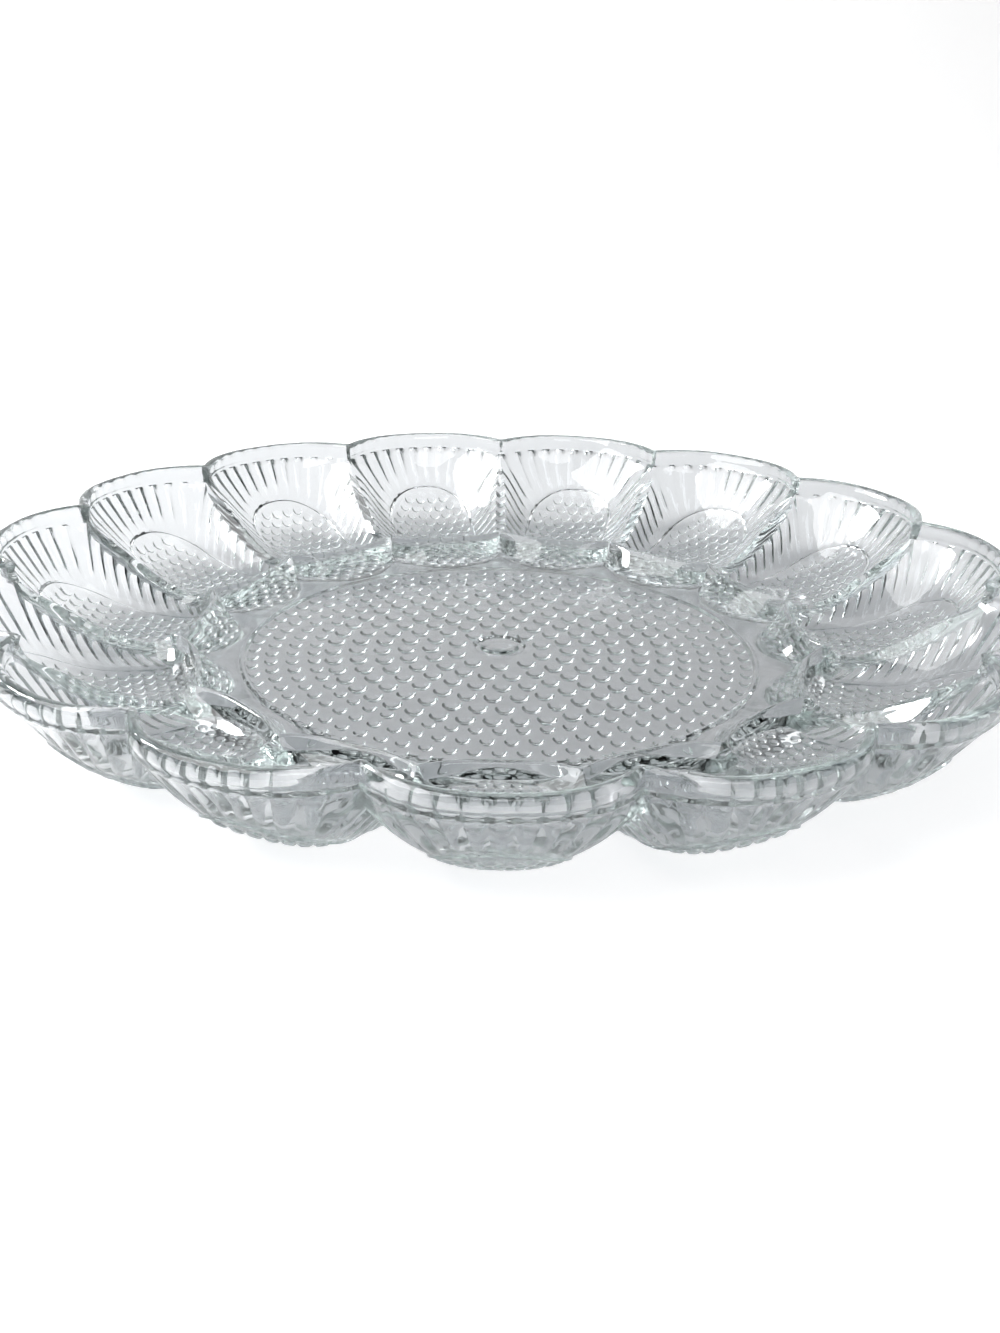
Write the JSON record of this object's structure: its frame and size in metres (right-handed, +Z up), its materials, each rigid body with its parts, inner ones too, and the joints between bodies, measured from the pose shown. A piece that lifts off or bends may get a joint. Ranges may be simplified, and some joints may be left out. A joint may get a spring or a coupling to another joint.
{
  "type": "deviled egg platter",
  "caption": "Round clear pressed-glass platter: fluted egg cups in a scalloped ring round a flat hobnail tray with a plain centre button.",
  "frame": {"origin": "on the platter's axis, at the height of the table that it stands on", "axes": "+Z up along the platter's axis; -Y points from the axis to the middle of cup 1, and the cups are numbered the way that +X turns to +Y"},
  "size_m": [0.2852, 0.284, 0.0325],
  "materials": {
    "glass": "clear pressed glass, fire polished",
    "thick_glass": "clear pressed glass, plain and thick"
  },
  "bodies": {
    "root": {"tray_floor": "glass", "tray_ring": "glass", "centre_button": "thick_glass", "egg_cup_01": "glass", "egg_cup_02": "glass", "egg_cup_03": "glass", "egg_cup_04": "glass", "egg_cup_05": "glass", "egg_cup_06": "glass", "egg_cup_07": "glass", "egg_cup_08": "glass", "egg_cup_09": "glass", "egg_cup_10": "glass", "egg_cup_11": "glass", "egg_cup_12": "glass", "egg_cup_13": "glass", "egg_cup_14": "glass", "egg_cup_15": "glass"}
  },
  "joints": []
}
